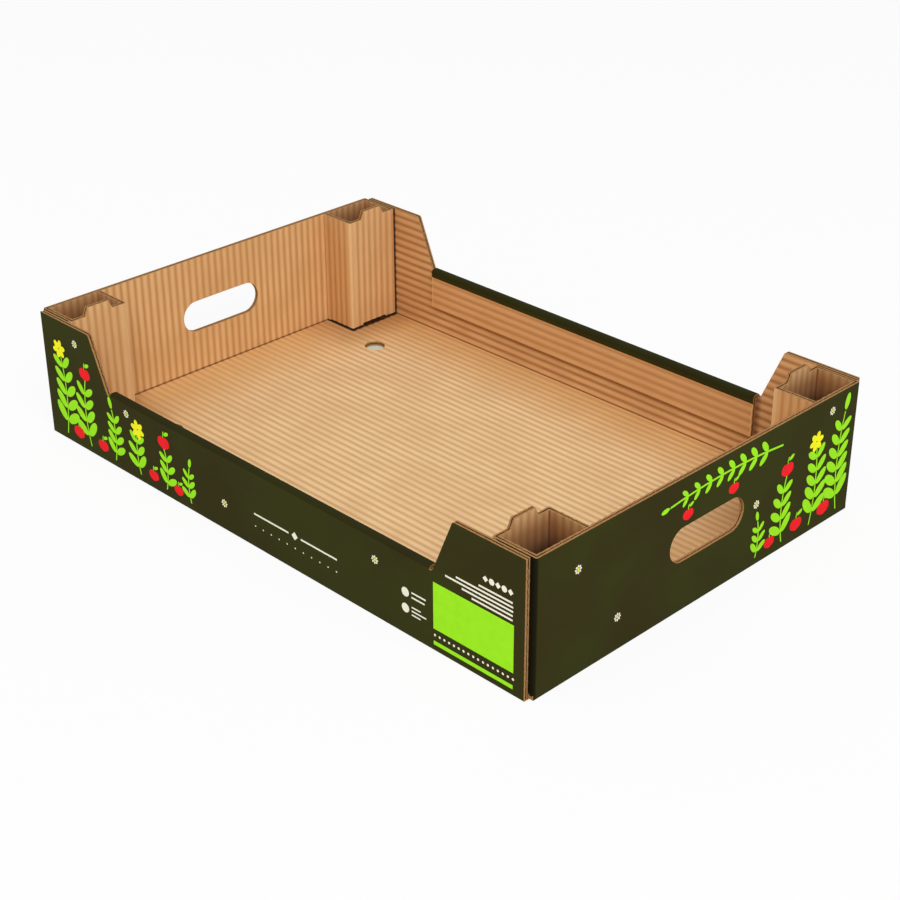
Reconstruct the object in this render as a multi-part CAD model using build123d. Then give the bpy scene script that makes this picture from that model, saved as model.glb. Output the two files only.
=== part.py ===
"""Produce tray folded from one die-cut blank of corrugated board.

X runs along the tray, Y across it and Z up. The origin is at the middle of the
underside. One blank makes the floor, two full-height ends with hand holes, two
long walls that are low between their corners, the edge that rolls over each low
wall, and four hollow corner posts with a stacking tab on top of each.
"""

import os

from build123d import *

# Overall size, over the outer faces
LENGTH = 600.0
WIDTH = 400.0
HEIGHT = 120.0

# Corrugated board: its thickness, and the washboard that its flutes press into a liner
BOARD = 4.5
FLUTE_PITCH = 7.8
FLUTE_CROWN = 0.4
CREASE_MARGIN = 4.0

# Outside of the folds: crushed nearly square, but rounder along the rolled edges
FLOOR_FOLD_RADIUS = 1.2
POST_FOLD_RADIUS = 1.6
ROLL_FOLD_RADIUS = 3.5

# Air left where plies are folded against each other
POST_GAP = 1.4
ROLL_GAP = 0.3
BUTT_GAP = 0.4

# Long walls: low in the middle, with slanted cuts up to the full-height corners
LOW_HEIGHT = 72.0
CORNER_LENGTH = 76.4
SLANT_RUN = 21.4
SLANT_TOP_RADIUS = 2.5
SLANT_FOOT_RADIUS = 3.5

# Edge that rolls over the low wall and hangs inside as a strip
ROLL_SETBACK = 3.2
ROLL_RISE = 2.7
STRIP_DEPTH = 40.0

# Corner posts: outside size of the three flaps, and the gap under them
POST_LENGTH = 38.7
POST_WIDTH = 59.5
POST_FLOOR_GAP = 2.1
HEEL_LENGTH = 5.0
HEEL_DROP = 1.0

# Stacking tab on each post, and the clearance round the tab of the tray below
TAB_BASE = 29.0
TAB_TOP = 22.0
TAB_HEIGHT = 8.0
TAB_CLEARANCE = 1.2
TAB_HEADROOM = 0.4

# Level that the end panels' upright folds start from, above the cut corners of the floor
CORNER_FOOT = 2.8

# Hand holes in the ends, and vent holes in the floor
HAND_HOLE_LENGTH = 91.0
HAND_HOLE_HEIGHT = 31.0
HAND_HOLE_LEVEL = 61.0
VENT_DIAMETER = 20.0
VENT_INSET_X = 85.0
VENT_INSET_Y = 74.0

# Faces that several parts of the blank share
END_INNER_X = LENGTH / 2 - BOARD
WALL_INNER_Y = WIDTH / 2 - BOARD
POST_OUTER_Y = WALL_INNER_Y - POST_GAP
POST_INNER_Y = POST_OUTER_Y - POST_WIDTH
POST_INNER_X = END_INNER_X - POST_LENGTH
POST_BOTTOM = BOARD + POST_FLOOR_GAP
FLAP_MIDDLE_X = POST_INNER_X + BOARD / 2
FLAP_MIDDLE_Y = (POST_INNER_Y + POST_OUTER_Y) / 2
FREE_EDGE_X = END_INNER_X - BUTT_GAP
SLANT_TOP = LENGTH / 2 - CORNER_LENGTH
SLANT_FOOT = SLANT_TOP - SLANT_RUN
ROLL_HALF_LENGTH = SLANT_FOOT - ROLL_SETBACK
ROLL_CREASE = LOW_HEIGHT - BOARD

# How far joined solids run into each other, and how near two places count as one
OVERLAP = 1.0
TOUCH = 0.01

# Which liners of a panel show the washboard: inner, outer
PLAIN = (False, False)
INNER_LINER = (True, False)
OUTER_LINER = (False, True)
BOTH_LINERS = (True, True)


def washboard(start, end, into):
    """One face of the board in section: an arch over each flute, and a crease at each end."""
    along = (end - start).normalized()
    run = (end - start).length
    flutes = int((run - 2 * CREASE_MARGIN) // FLUTE_PITCH)
    margin = (run - flutes * FLUTE_PITCH) / 2
    valleys = []
    for index in range(flutes + 1):
        valleys.append(start + along * (margin + index * FLUTE_PITCH) + into * FLUTE_CROWN)
    edges = [Line(start, valleys[0])]
    for left, right in zip(valleys, valleys[1:]):
        crown = (left + right) / 2 - into * FLUTE_CROWN
        edges.append(ThreePointArc(left, crown, right))
    edges.append(Line(valleys[-1], end))
    return edges


def face_line(start, end, into, ridged):
    """One face of a panel in section, plain or with its washboard."""
    if ridged:
        return washboard(start, end, into)
    return [Line(start, end)]


def fold_edges(corner, before, after, radius):
    """Outside of a fold round the sharp corner inside it, from one outer face to the next."""
    radius = min(radius, BOARD)
    centre = corner + (before + after) * (BOARD - radius)
    start = centre + before * radius
    end = centre + after * radius
    middle = centre + (before + after).normalized() * radius
    edges = [ThreePointArc(start, middle, end)]
    if radius < BOARD:
        edges.append(Line(corner + before * BOARD, start))
        edges.append(Line(end, corner + after * BOARD))
    return edges


def folded_section(corners, liners, radius):
    """Section of the board folded at the given inner corners, with rounded outer folds.

    The outer liner is on the right of the path. Each panel between two corners
    has its own entry in liners.
    """
    corners = [Vector(*corner) for corner in corners]
    panels = list(zip(corners, corners[1:]))
    outwards = [(end - start).normalized().rotate(Axis.Z, -90) for start, end in panels]
    edges = [Line(corners[0], corners[0] + outwards[0] * BOARD)]
    for index, (start, end) in enumerate(panels):
        out = outwards[index]
        inner_ridged, outer_ridged = liners[index]
        edges += face_line(start, end, out, inner_ridged)
        edges += face_line(start + out * BOARD, end + out * BOARD, out * -1, outer_ridged)
        if index + 1 < len(panels):
            edges += fold_edges(end, out, outwards[index + 1], radius)
    edges.append(Line(corners[-1], corners[-1] + outwards[-1] * BOARD))
    return make_face(edges)


def both_ways(shape):
    """The shape and its copy turned half round about Z."""
    return [shape, shape.rotate(Axis.Z, 180)]


def four_corners(shape):
    """The shape in one corner, and its mirrored copies in the other three."""
    pair = [shape, shape.mirror(Plane.XZ)]
    return pair + [copy.rotate(Axis.Z, 180) for copy in pair]


def wall_outline():
    """Elevation of a long wall: low in the middle, with slanted cuts to full-height corners."""
    foot_level = LOW_HEIGHT - ROLL_RISE
    right = [
        (END_INNER_X, 0),
        (END_INNER_X, HEIGHT),
        (SLANT_TOP, HEIGHT),
        (SLANT_FOOT, foot_level),
        (ROLL_HALF_LENGTH, foot_level),
        (ROLL_HALF_LENGTH, ROLL_CREASE),
    ]
    left = [(-x, z) for x, z in reversed(right)]
    outline = make_face(Polyline(*right, *left, close=True))
    tops = outline.vertices().filter_by(lambda v: abs(abs(v.X) - SLANT_TOP) < TOUCH)
    outline = fillet(tops, SLANT_TOP_RADIUS)
    feet = outline.vertices().filter_by(lambda v: abs(abs(v.X) - SLANT_FOOT) < TOUCH)
    return fillet(feet, SLANT_FOOT_RADIUS)


def floor_and_long_walls():
    """Floor and both long walls, folded up from one width of the blank."""
    section = folded_section(
        [
            (-WALL_INNER_Y, HEIGHT),
            (-WALL_INNER_Y, BOARD),
            (WALL_INNER_Y, BOARD),
            (WALL_INNER_Y, HEIGHT),
        ],
        [INNER_LINER, INNER_LINER, INNER_LINER],
        FLOOR_FOLD_RADIUS,
    )
    sheet = extrude(Plane.YZ * section, END_INNER_X, both=True)
    return sheet & extrude(Plane.XZ * wall_outline(), WIDTH, both=True)


def rolled_edge():
    """Edge rolled over the low wall on the +Y side, with the strip that hangs inside it."""
    strip_y = WALL_INNER_Y - ROLL_GAP
    section = folded_section(
        [
            (WALL_INNER_Y, ROLL_CREASE - OVERLAP),
            (WALL_INNER_Y, ROLL_CREASE),
            (strip_y, ROLL_CREASE),
            (strip_y, LOW_HEIGHT - STRIP_DEPTH),
        ],
        [PLAIN, PLAIN, OUTER_LINER],
        ROLL_FOLD_RADIUS,
    )
    return extrude(Plane.YZ * section, ROLL_HALF_LENGTH, both=True)


def end_and_post_section():
    """Plan of the end panel on the +X side, with a post's three flaps folded in at each side."""
    well_x = POST_INNER_X + BOARD
    well_y = POST_INNER_Y + BOARD
    corner_y = POST_OUTER_Y - BOARD
    front = [
        (FREE_EDGE_X, -well_y),
        (well_x, -well_y),
        (well_x, -corner_y),
        (END_INNER_X, -corner_y),
    ]
    back = [(x, -y) for x, y in reversed(front)]
    flaps = [BOTH_LINERS, BOTH_LINERS, INNER_LINER]
    return folded_section(front + back, flaps + [INNER_LINER] + flaps[::-1], POST_FOLD_RADIUS)


def end_and_posts():
    """End panel and posts on the +X side, with their tabs, heels, fold ends and recesses."""
    section = end_and_post_section()
    panels = extrude(Plane.XY.offset(POST_BOTTOM) * section, HEIGHT - POST_BOTTOM)
    above = extrude(Plane.XY.offset(HEIGHT - OVERLAP) * section, TAB_HEIGHT + OVERLAP)
    below = extrude(Plane.XY.offset(CORNER_FOOT) * section, POST_BOTTOM + OVERLAP - CORNER_FOOT)
    for side in (-1, 1):
        panels += above & tab_outline(side)
        panels += below & heel_room(side)
        panels += below & fold_end_room(side)
        panels -= tab_recess(side)
    return panels


def tab_outline(side):
    """Block that a stacking tab is trimmed to: wide at its foot and narrow at its top."""
    shape = make_face(
        Polyline(
            (-TAB_BASE / 2, HEIGHT - OVERLAP),
            (-TAB_BASE / 2, HEIGHT),
            (-TAB_TOP / 2, HEIGHT + TAB_HEIGHT),
            (TAB_TOP / 2, HEIGHT + TAB_HEIGHT),
            (TAB_BASE / 2, HEIGHT),
            (TAB_BASE / 2, HEIGHT - OVERLAP),
            close=True,
        )
    )
    at = Plane.YZ.offset(POST_INNER_X - OVERLAP) * Pos(side * FLAP_MIDDLE_Y, 0)
    return extrude(at * shape, BOARD + 2 * OVERLAP)


def tab_recess(side):
    """Recess under a post's flap, for the top of the tab of the tray below."""
    depth = TAB_HEIGHT + TAB_HEADROOM - POST_BOTTOM
    recess = Box(BOARD + 2 * OVERLAP, TAB_BASE + 2 * TAB_CLEARANCE, 2 * depth)
    return Pos(FLAP_MIDDLE_X, side * FLAP_MIDDLE_Y, POST_BOTTOM) * recess


def heel_room(side):
    """Block that keeps the heel of a post's last flap, beside the end panel."""
    room = Box(2 * HEEL_LENGTH, BOARD + 2 * OVERLAP, 2 * HEEL_DROP)
    return Pos(FREE_EDGE_X, side * (POST_INNER_Y + BOARD / 2), POST_BOTTOM) * room


def fold_end_room(side):
    """Block that keeps the low end of the upright fold at a corner, outside the floor."""
    room = Box(BOARD, BOARD, 2 * (POST_BOTTOM - CORNER_FOOT))
    return Pos(END_INNER_X + BOARD / 2, side * (POST_OUTER_Y - BOARD / 2), POST_BOTTOM) * room


def end_fold():
    """Fold between the floor and the end panel on the +X side, square at its cut ends."""
    section = folded_section(
        [(END_INNER_X - OVERLAP, BOARD), (END_INNER_X, BOARD), (END_INNER_X, POST_BOTTOM)],
        [PLAIN, PLAIN],
        FLOOR_FOLD_RADIUS,
    )
    fold = extrude(Plane.XZ * section, POST_OUTER_Y - BOARD, both=True)
    foot = extrude(Plane.XZ * section, POST_OUTER_Y, both=True)
    return fold + (foot & Box(2 * LENGTH, 2 * WIDTH, 2 * CORNER_FOOT))


def hand_hole():
    """Cutter for the rounded hand hole through the end panel on the +X side."""
    slot = SlotOverall(HAND_HOLE_LENGTH, HAND_HOLE_HEIGHT)
    at = Plane.YZ.offset(END_INNER_X - OVERLAP) * Pos(0, HAND_HOLE_LEVEL)
    return extrude(at * slot, BOARD + 2 * OVERLAP)


def vent_hole():
    """Cutter for one round vent hole through the floor."""
    hole = Cylinder(VENT_DIAMETER / 2, BOARD + 2 * OVERLAP)
    return Pos(LENGTH / 2 - VENT_INSET_X, WIDTH / 2 - VENT_INSET_Y, BOARD / 2) * hole


def tab_slot():
    """Cutter for the slot under one post that takes the tab of the tray below."""
    slot = Box(
        BOARD + 2 * TAB_CLEARANCE,
        TAB_BASE + 2 * TAB_CLEARANCE,
        BOARD + 2 * OVERLAP,
    )
    return Pos(FLAP_MIDDLE_X, FLAP_MIDDLE_Y, BOARD / 2) * slot


def folded_tray():
    """The whole tray as one folded sheet."""
    tray = floor_and_long_walls()
    for edge in both_ways(rolled_edge()):
        tray += edge
    for end in both_ways(end_fold() + end_and_posts()):
        tray += end
    for cutter in both_ways(hand_hole()) + four_corners(vent_hole()) + four_corners(tab_slot()):
        tray -= cutter
    return tray


os.makedirs("parts", exist_ok=True)
export_step(folded_tray(), "parts/folded_tray.step")
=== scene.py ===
"""Looks of a corrugated produce tray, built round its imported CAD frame.

The tray is one sheet of board, folded up and glued. It is modelled here again as a
folder would make it: runs of board are extruded along their fold lines, pressed into a
washboard over the flutes, trimmed with dies, and joined at the folds. The cut edges show
both liners with the fluted core between them. The print is flat fields of ink, pressed a
hair's breadth into the outside. All modelling sizes are in millimetres, and MM turns them
into Blender's metres.
"""

import logging
import math
from contextlib import contextmanager
from dataclasses import dataclass, field, replace
from enum import Enum
from functools import cached_property
from typing import Callable, ClassVar, Iterator, Optional, Sequence

import bmesh
import bpy
from mathutils import Matrix, Vector


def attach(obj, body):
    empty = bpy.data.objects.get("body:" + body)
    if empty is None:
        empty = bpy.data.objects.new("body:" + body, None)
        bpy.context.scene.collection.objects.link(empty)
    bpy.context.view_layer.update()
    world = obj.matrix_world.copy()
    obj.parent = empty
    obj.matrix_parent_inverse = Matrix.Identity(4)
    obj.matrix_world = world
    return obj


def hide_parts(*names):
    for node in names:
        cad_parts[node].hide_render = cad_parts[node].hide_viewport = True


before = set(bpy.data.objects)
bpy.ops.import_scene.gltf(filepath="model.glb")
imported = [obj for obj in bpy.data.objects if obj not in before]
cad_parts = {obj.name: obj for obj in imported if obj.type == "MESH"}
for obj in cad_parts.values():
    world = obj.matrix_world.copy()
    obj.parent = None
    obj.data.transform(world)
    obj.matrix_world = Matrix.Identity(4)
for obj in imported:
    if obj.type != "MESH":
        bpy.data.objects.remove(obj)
bpy.context.view_layer.update()

MM = 0.001
# Lengths in millimetres that differ by less count as one
NEAR = 0.02
# How far a die runs past the board that it trims, in millimetres
CLEAR = 1.0
# Directions whose dot product is above this count as one
ALIGNED = 0.99
# A normal with more than this share along an axis faces along it
FACING = 0.9
BODY = "root"
NODE = "folded_tray"

X_AXIS = Vector((1, 0, 0))
Y_AXIS = Vector((0, 1, 0))
Z_AXIS = Vector((0, 0, 1))

log = logging.getLogger("tray")


class Part(Enum):
    """What a selection is made of."""

    POINTS = "VERT"
    EDGES = "EDGE"
    FACES = "FACE"


class Join(Enum):
    """How a second solid acts on the first."""

    ADD = "UNION"
    CUT = "DIFFERENCE"
    KEEP = "INTERSECT"


class Finish(Enum):
    """Finishes of the board, by where they show."""

    FLOOR = "kraft_floor"
    END = "kraft_end_panel"
    WALL = "kraft_long_wall"
    STRIP = "kraft_rolled_strip"
    POST_FACE = "kraft_post_face"
    POST_SIDE = "kraft_post_side"
    UNDERSIDE = "kraft_underside"
    PRINT = "dark_print"
    CUT = "cut_liner"
    CORE = "fluted_core"
    LIME = "lime_ink"
    RED = "red_ink"
    YELLOW = "yellow_ink"
    WHITE = "white_ink"


@dataclass(frozen=True)
class Board:
    """The corrugated board: its plies, and the washboard that its flutes press into a liner."""

    thickness: float = 4.5
    pitch: float = 7.8
    crown: float = 0.4
    crease: float = 4.0
    inner_skin: float = 1.7
    outer_skin: float = 1.6
    medium: float = 0.34
    groove: float = 1.3
    rows: int = 8

    @property
    def row_width(self) -> float:
        """Width of one row of a modelled flute."""
        return self.pitch / self.rows

    def flutes(self, run: float) -> int:
        """Whole flutes that fit between the creases of a panel.

        Args:
            run: Length of the panel across its flutes.

        Returns:
            The number of flutes.
        """
        return int((run - 2 * self.crease) // self.pitch)

    def margin(self, run: float) -> float:
        """Plain board left at each side of a panel's flutes."""
        return (run - self.flutes(run) * self.pitch) / 2

    def sag(self, row: int) -> float:
        """Depth of a liner below its crowns at one row of a flute."""
        return self.crown * (1 + math.cos(2 * math.pi * row / self.rows)) / 2


BOARD = Board()


class Bench:
    """Modelling moves, each the operator that a modeller would use by hand."""

    @staticmethod
    def hold(thing: Optional[bpy.types.Object] = None) -> None:
        """Leaves edit mode, and selects one object or nothing."""
        if bpy.context.object is not None and bpy.context.object.mode != "OBJECT":
            bpy.ops.object.mode_set(mode="OBJECT")
        bpy.ops.object.select_all(action="DESELECT")
        if thing is not None:
            thing.select_set(True)
            bpy.context.view_layer.objects.active = thing

    @staticmethod
    @contextmanager
    def shaping(thing: bpy.types.Object) -> Iterator[None]:
        """Edit mode on one object, for as long as the block runs."""
        Bench.hold(thing)
        bpy.ops.object.mode_set(mode="EDIT")
        yield
        bpy.ops.object.mode_set(mode="OBJECT")

    @staticmethod
    def pick(part: Part, test: Callable[..., bool]) -> None:
        """Selects what passes a test, in edit mode.

        Args:
            part: Points, edges or faces.
            test: Says whether one of them is wanted.
        """
        bpy.ops.mesh.select_mode(type=part.value)
        bpy.ops.mesh.select_all(action="DESELECT")
        mesh = bpy.context.edit_object.data
        form = bmesh.from_edit_mesh(mesh)
        form.normal_update()
        parts = {Part.POINTS: form.verts, Part.EDGES: form.edges, Part.FACES: form.faces}[part]
        for item in [item for item in parts if test(item)]:
            item.select_set(True)
        form.select_flush_mode()
        bmesh.update_edit_mesh(mesh)

    @staticmethod
    def move(offset: Vector) -> None:
        """Moves what is selected by an offset in millimetres."""
        bpy.ops.transform.translate(value=offset * MM)

    @staticmethod
    def extrude(offset: Vector) -> None:
        """Extrudes the selected faces by an offset in millimetres."""
        bpy.ops.mesh.extrude_region_move(TRANSFORM_OT_translate={"value": offset * MM})

    @staticmethod
    def round_edges(test: Callable[[bmesh.types.BMEdge], bool], trim: float, steps: int) -> None:
        """Rounds the edges that pass a test, in edit mode.

        Args:
            test: Says whether an edge is wanted.
            trim: Where the round starts, in millimetres from the edge.
            steps: How many flats it has.
        """
        Bench.pick(Part.EDGES, test)
        bpy.ops.mesh.bevel(offset=trim * MM, segments=steps, affect="EDGES")

    @staticmethod
    def part_sides(
        axis: Vector, shift: float, middle: float = 0.0, past: float = NEAR, above: float = -math.inf
    ) -> None:
        """Moves the points at both sides of a middle apart, in edit mode.

        Args:
            axis: X or Y.
            shift: How far each side moves outwards, in millimetres.
            middle: Where the sides meet, along the axis.
            past: How far from the middle a point has to be to move.
            above: How high it has to be.
        """
        for side in (-1, 1):
            Bench.pick(
                Part.POINTS,
                lambda vert: (vert.co.dot(axis) / MM - middle) * side > past and vert.co.z / MM > above,
            )
            Bench.move(axis * side * shift)

    @staticmethod
    def settled(thing: bpy.types.Object) -> bpy.types.Object:
        """The object, with its place, turn and size put into its mesh."""
        Bench.hold(thing)
        bpy.ops.object.transform_apply(location=True, rotation=True, scale=True)
        return thing

    @staticmethod
    def box(name: str, start: Sequence[float], end: Sequence[float]) -> bpy.types.Object:
        """A block between two opposite corners, as the start of a piece or a die.

        Args:
            name: Name of the object.
            start: One corner in millimetres.
            end: The corner opposite.

        Returns:
            The block, with its place in its mesh.
        """
        Bench.hold()
        low = Vector([min(pair) for pair in zip(start, end)]) * MM
        high = Vector([max(pair) for pair in zip(start, end)]) * MM
        bpy.ops.mesh.primitive_cube_add(size=1, location=(low + high) / 2, scale=high - low)
        block = bpy.context.object
        block.name = name
        return Bench.settled(block)

    @staticmethod
    def drum(
        name: str,
        centre: Sequence[float],
        radius: float,
        low: float,
        high: float,
        axis: Vector,
        sides: int = 48,
    ) -> bpy.types.Object:
        """A round die along one axis.

        Args:
            name: Name of the object.
            centre: A point on its axis in millimetres.
            radius: Its radius.
            low: Where it starts along the axis.
            high: Where it ends along the axis.
            axis: X, Y or Z.
            sides: How many flats it has.

        Returns:
            The drum, with its place in its mesh.
        """
        Bench.hold()
        centre = Vector(centre)
        middle = centre + axis * ((low + high) / 2 - centre.dot(axis))
        turn = axis.to_track_quat("Z", "Y").to_euler()
        bpy.ops.mesh.primitive_cylinder_add(
            vertices=sides, radius=radius * MM, depth=(high - low) * MM, location=middle * MM, rotation=turn
        )
        drum = bpy.context.object
        drum.name = name
        return Bench.settled(drum)

    @staticmethod
    def modify(thing: bpy.types.Object, kind: str, **settings: object) -> bpy.types.Object:
        """Gives an object a modifier with its settings, and applies it."""
        Bench.hold(thing)
        bpy.ops.object.modifier_add(type=kind)
        modifier = thing.modifiers[-1]
        for key, value in settings.items():
            setattr(modifier, key, value)
        bpy.ops.object.modifier_apply(modifier=modifier.name)
        return thing

    @staticmethod
    def combine(
        first: bpy.types.Object, second: bpy.types.Object, how: Join, overlapping: bool = False
    ) -> bpy.types.Object:
        """Joins, trims or cuts one solid with another, which is used up.

        Args:
            first: The solid that is kept.
            second: The solid that acts on it.
            how: What the second does to the first.
            overlapping: Whether the second is made of shapes that run into each other.

        Returns:
            The first solid.
        """
        exact = {"solver": "EXACT", "material_mode": "TRANSFER", "use_self": overlapping}
        Bench.modify(first, "BOOLEAN", operation=how.value, object=second, **exact)
        Bench.discard(second)
        return first

    @staticmethod
    def discard(thing: bpy.types.Object) -> None:
        """Removes an object and its mesh."""
        mesh = thing.data
        bpy.data.objects.remove(thing)
        bpy.data.meshes.remove(mesh)

    @staticmethod
    def joined(name: str, things: Sequence[bpy.types.Object]) -> bpy.types.Object:
        """Several objects as one, under a new name."""
        Bench.hold(things[0])
        for thing in things:
            thing.select_set(True)
        bpy.ops.object.join()
        things[0].name = name
        return things[0]

    @staticmethod
    def turned(thing: bpy.types.Object, name: str) -> bpy.types.Object:
        """A copy with its own mesh, turned half round about Z."""
        Bench.hold(thing)
        bpy.ops.object.duplicate(linked=False)
        copy = bpy.context.object
        copy.name = name
        with Bench.shaping(copy):
            bpy.ops.mesh.select_all(action="SELECT")
            bpy.ops.transform.resize(value=(-1, -1, 1), center_override=(0, 0, 0))
        return copy

    @staticmethod
    def both_sides(thing: bpy.types.Object, axis: Vector) -> bpy.types.Object:
        """The object with a mirrored copy of itself across the tray's middle.

        Args:
            thing: What is copied.
            axis: The axis that the copy is mirrored along.

        Returns:
            The same object, with both in its mesh.
        """
        along = [bool(part) for part in axis]
        return Bench.modify(thing, "MIRROR", use_axis=along, use_mirror_merge=False)

    @staticmethod
    def coat(thing: bpy.types.Object, *finishes: Finish) -> bpy.types.Object:
        """Gives an object its finishes, the first of them all over."""
        thing.data.materials.clear()
        for finish in finishes:
            thing.data.materials.append(Finishes.material(finish))
        return thing


def same(first: float, second: float) -> bool:
    """Whether two lengths in millimetres count as one."""
    return abs(first - second) < NEAR


@dataclass(frozen=True)
class Liner:
    """One face of a panel: its finish, and whether the flutes show on it."""

    finish: Finish
    ridged: bool = False


@dataclass
class FoldedRun:
    """A run of board folded along its flutes, grown panel by panel from its first cut end."""

    name: str
    corners: Sequence[Vector]
    panels: Sequence[tuple[Liner, Liner]]
    bends: Sequence[Finish]
    axis: Vector
    span: tuple[float, float]
    radius: float
    skin: tuple[float, float] = (0.0, 0.0)
    steps: int = 8
    roundest: float = 0.98

    def __post_init__(self) -> None:
        """Works out where the folds lie, for the whole board or for its core alone."""
        pairs = list(zip(self.corners, self.corners[1:]))
        self.ways = [(end - start).normalized() for start, end in pairs]
        self.outs = [way.cross(self.axis) for way in self.ways]
        self.depth = BOARD.thickness - self.skin[0] - self.skin[1]
        self.folds = []
        for index, corner in enumerate(self.corners):
            beside = self.outs[max(index - 1, 0) : index + 1]
            self.folds.append(corner + sum(beside, Vector()) * self.skin[0])
        self.middle = self.axis * sum(self.span) / 2

    @property
    def is_core(self) -> bool:
        """Whether this is the core between the liners."""
        return self.skin[0] > 0

    def length(self, index: int) -> float:
        """Length of a panel between its folds."""
        return (self.folds[index + 1] - self.folds[index]).length

    def stretches(self, index: int) -> list[float]:
        """A panel's length in one piece, or as margin, flutes and margin."""
        run = self.length(index)
        if self.is_core or not any(liner.ridged for liner in self.panels[index]):
            return [run]
        margin = BOARD.margin(run)
        return [margin, run - 2 * margin, margin]

    def pick_end(self, place: Vector, way: Vector) -> None:
        """Selects the face at a place that faces one way."""
        Bench.pick(
            Part.FACES,
            lambda face: face.normal.dot(way) > ALIGNED
            and (face.calc_center_bounds() / MM - place - self.middle).length < 5 * NEAR,
        )

    def grown(self) -> bpy.types.Object:
        """The plain folded solid, extruded from its first end to its last."""
        start, way, out = self.folds[0], self.ways[0], self.outs[0]
        stretches = [self.stretches(index) for index in range(len(self.ways))]
        first = start + way * stretches[0][0]
        opposite = first + out * self.depth + self.axis * self.span[1]
        solid = Bench.box(self.name, start + self.axis * self.span[0], opposite)
        with Bench.shaping(solid):
            self.pick_end(first + out * self.depth / 2, way)
            for index, (way, out) in enumerate(zip(self.ways, self.outs)):
                for stretch in stretches[index][1 if index == 0 else 0 :]:
                    Bench.extrude(way * stretch)
                if index + 1 < len(self.ways):
                    Bench.extrude(way * self.depth)
                    self.pick_end(self.folds[index + 1] + way * self.depth / 2, self.ways[index + 1])
            self.round_folds()
        return solid

    def round_folds(self) -> None:
        """Rounds the outside of every fold, where the radius reaches into what is modelled."""
        radius = min(self.radius - self.skin[1], self.depth * self.roundest)
        if radius < NEAR:
            return
        for index in range(1, len(self.ways)):
            crest = self.folds[index] + (self.outs[index - 1] + self.outs[index]) * self.depth
            Bench.round_edges(
                lambda edge: all(self.off_line(v, crest) < NEAR for v in edge.verts), radius, self.steps
            )

    def off_line(self, point: bmesh.types.BMVert, place: Vector) -> float:
        """Distance of a point from the line through a place along the flutes."""
        apart = point.co / MM - place
        return (apart - self.axis * apart.dot(self.axis)).length

    def wave(
        self,
        way: Vector,
        flutes: int,
        station: Callable[[bmesh.types.BMVert], Optional[float]],
        shift: Callable[[int], Vector],
    ) -> None:
        """Divides faces into the rows of their flutes and moves each row, in edit mode.

        Args:
            way: Direction across the flutes.
            flutes: How many flutes there are.
            station: A point's rows from the first valley, or None where it stays.
            shift: How far a row of each flute moves, in millimetres.
        """

        def rail(edge: bmesh.types.BMEdge) -> bool:
            """Whether an edge runs across the flutes."""
            lean = (edge.verts[1].co - edge.verts[0].co).normalized()
            return abs(lean.dot(way)) > ALIGNED and all(station(v) is not None for v in edge.verts)

        def in_row(vert: bmesh.types.BMVert) -> bool:
            """Whether a point lies in the row that is moved now."""
            rows = station(vert)
            return rows is not None and round(rows) % BOARD.rows == row

        for cuts in (flutes - 1, BOARD.rows - 1):
            if cuts:
                Bench.pick(Part.EDGES, rail)
                bpy.ops.mesh.subdivide(number_cuts=cuts)
        for row in range(BOARD.rows):
            if shift(row).length > 0:
                Bench.pick(Part.POINTS, in_row)
                Bench.move(shift(row))

    def press(self, index: int, outer: bool) -> None:
        """Presses the washboard into one face of a panel, in edit mode."""
        way, out, start = self.ways[index], self.outs[index], self.folds[index]
        level = self.depth if outer else 0.0
        into = out * (-1 if outer else 1)
        run = self.length(index)
        flutes, margin = BOARD.flutes(run), BOARD.margin(run)

        def station(vert: bmesh.types.BMVert) -> Optional[float]:
            """Rows from the first valley, or None off the flutes of this face."""
            apart = vert.co / MM - start
            along = (apart.dot(way) - margin) / BOARD.row_width
            if abs(apart.dot(out) - level) > NEAR or not -NEAR < along < flutes * BOARD.rows + NEAR:
                return None
            return along

        self.wave(way, flutes, station, lambda row: into * BOARD.sag(row))

    def paint(self, solid: bpy.types.Object) -> None:
        """Gives each face of the run its finish, by the panel and the side that it is on."""
        used = [liner.finish for pair in self.panels for liner in pair]
        used = list(dict.fromkeys([Finish.CUT] + used))
        Bench.coat(solid, *used)
        for face in solid.data.polygons:
            face.material_index = used.index(self.finish_at(face.center / MM, face.normal))

    def finish_at(self, place: Vector, normal: Vector) -> Finish:
        """Finish of a face from its middle and normal."""
        if abs(normal.dot(self.axis)) > FACING:
            return Finish.CUT
        for index, (way, out) in enumerate(zip(self.ways, self.outs)):
            apart = place - self.folds[index]
            along, up = apart.dot(way), apart.dot(out)
            length, last = self.length(index), index + 1 == len(self.ways)
            if -NEAR < up < self.depth + NEAR and -NEAR < along < length + NEAR:
                ends = (index == 0 and along < NEAR) or (last and along > length - NEAR)
                if ends and abs(normal.dot(way)) > ALIGNED:
                    return Finish.CUT
                return self.panels[index][1 if up > self.depth / 2 else 0].finish
            if not last and -NEAR < up < self.depth + NEAR and length < along < length + self.depth + NEAR:
                return self.bends[index]
        return self.bends[0]

    def build(self) -> bpy.types.Object:
        """The finished run of board, or the plain run of its core."""
        solid = self.grown()
        if self.is_core:
            return Bench.coat(solid, Finish.CORE)
        with Bench.shaping(solid):
            for index, (inner, outer) in enumerate(self.panels):
                if inner.ridged:
                    self.press(index, False)
                if outer.ridged:
                    self.press(index, True)
        self.paint(solid)
        return solid

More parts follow.
